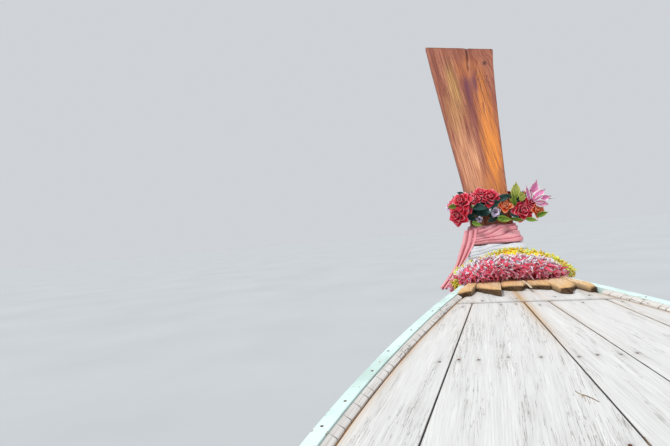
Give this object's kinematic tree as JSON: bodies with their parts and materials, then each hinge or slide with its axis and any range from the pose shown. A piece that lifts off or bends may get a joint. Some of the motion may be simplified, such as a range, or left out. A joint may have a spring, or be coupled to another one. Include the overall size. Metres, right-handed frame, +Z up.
{
  "type": "longtail boat",
  "caption": "Wooden longtail boat afloat: planked hull, fanned foredeck, tall prow post with garlands, canopy, and a swivelling engine with a long shaft tube and propeller.",
  "frame": {"origin": "on the waterline, amidships, on the centreline", "axes": "+X forward, +Y to port, +Z up"},
  "size_m": [12.842, 1.93, 2.6944],
  "materials": {
    "bleached_wood": "unpainted planks, bleached grey-white by the sun, with fine cracks",
    "aged_wood": "bare aged timber",
    "cut_wood": "bare boards with broken, brown ends",
    "prow_wood": "varnished hardwood, worn and streaked",
    "mint_paint": "pale mint oil paint on timber, brush-marked",
    "white_paint": "weathered white oil paint on timber",
    "bottom_paint": "matt red-brown antifouling paint on timber",
    "galvanised": "galvanised steel tube",
    "dark_steel": "dark painted steel, chipped at the edges",
    "engine_paint": "cast engine in grey-blue engine paint, oily",
    "bronze": "cast bronze, edges polished by the water",
    "canvas": "blue coated canvas",
    "pink_cloth": "dusty rose cotton cloth, in folds",
    "white_cloth": "white cotton cloth, in folds",
    "yellow_petals": "cloth marigold petals on a cord",
    "pink_petals": "cloth petals on a cord, light over deep pink",
    "flowers": "cloth roses, a lily, buds and leaves on a cord"
  },
  "bodies": {
    "hull": {"keel": "bottom_paint", "bottom_planks_port_aft": "bottom_paint", "bottom_planks_port_fore": "bottom_paint", "bottom_planks_starboard_aft": "bottom_paint", "bottom_planks_starboard_fore": "bottom_paint", "stem": "aged_wood", "ribs": "aged_wood", "deck_frame": "aged_wood", "floor_boards": "aged_wood", "bench_1": "aged_wood", "bench_2": "aged_wood", "bench_3": "aged_wood", "bench_4": "aged_wood", "aft_deck": "aged_wood", "engine_beam": "aged_wood", "ledge_port": "aged_wood", "ledge_starboard": "aged_wood", "prow_post": "prow_wood", "transom": "white_paint", "side_planks_port_aft": "white_paint", "side_planks_port_fore": "white_paint", "side_planks_starboard_aft": "white_paint", "side_planks_starboard_fore": "white_paint", "sheer_plank_port": "mint_paint", "sheer_plank_starboard": "mint_paint", "deck_board_1": "bleached_wood", "deck_board_2": "bleached_wood", "deck_board_3": "bleached_wood", "deck_board_4": "bleached_wood", "deck_board_5": "bleached_wood", "cross_piece": "bleached_wood", "cap_board_1": "cut_wood", "cap_board_2": "cut_wood", "cap_board_3": "cut_wood", "cap_board_4": "cut_wood", "cap_board_5": "cut_wood", "cap_board_6": "cut_wood", "canopy_frame": "galvanised", "canopy": "canvas", "swivel_post": "dark_steel", "pink_cloth": "pink_cloth", "white_cloth": "white_cloth", "yellow_garland": "yellow_petals", "pink_garland": "pink_petals", "flower_garland": "flowers"},
    "swivel": {"yoke": "dark_steel"},
    "tail": {"engine_cradle": "dark_steel", "engine": "engine_paint", "exhaust": "galvanised", "tiller": "dark_steel", "tail_tube": "galvanised"},
    "propeller": {"propeller": "bronze"}
  },
  "joints": [
    {"name": "steering", "type": "hinge", "parent": "hull", "child": "swivel", "pos_m": [-4.15, 0, 1.2], "axis": [0, 0, 1], "range_deg": [-50, 50]},
    {"name": "tail_tilt", "type": "hinge", "parent": "swivel", "child": "tail", "pos_m": [-4.15, 0, 1.2], "axis": [0, 1, 0], "range_deg": [-7, 12]},
    {"name": "propeller_spin", "type": "hinge", "parent": "tail", "child": "propeller", "pos_m": [-7.9357, 0, 0.237], "axis": [0.9537, 0, 0.3007], "continuous": true}
  ]
}
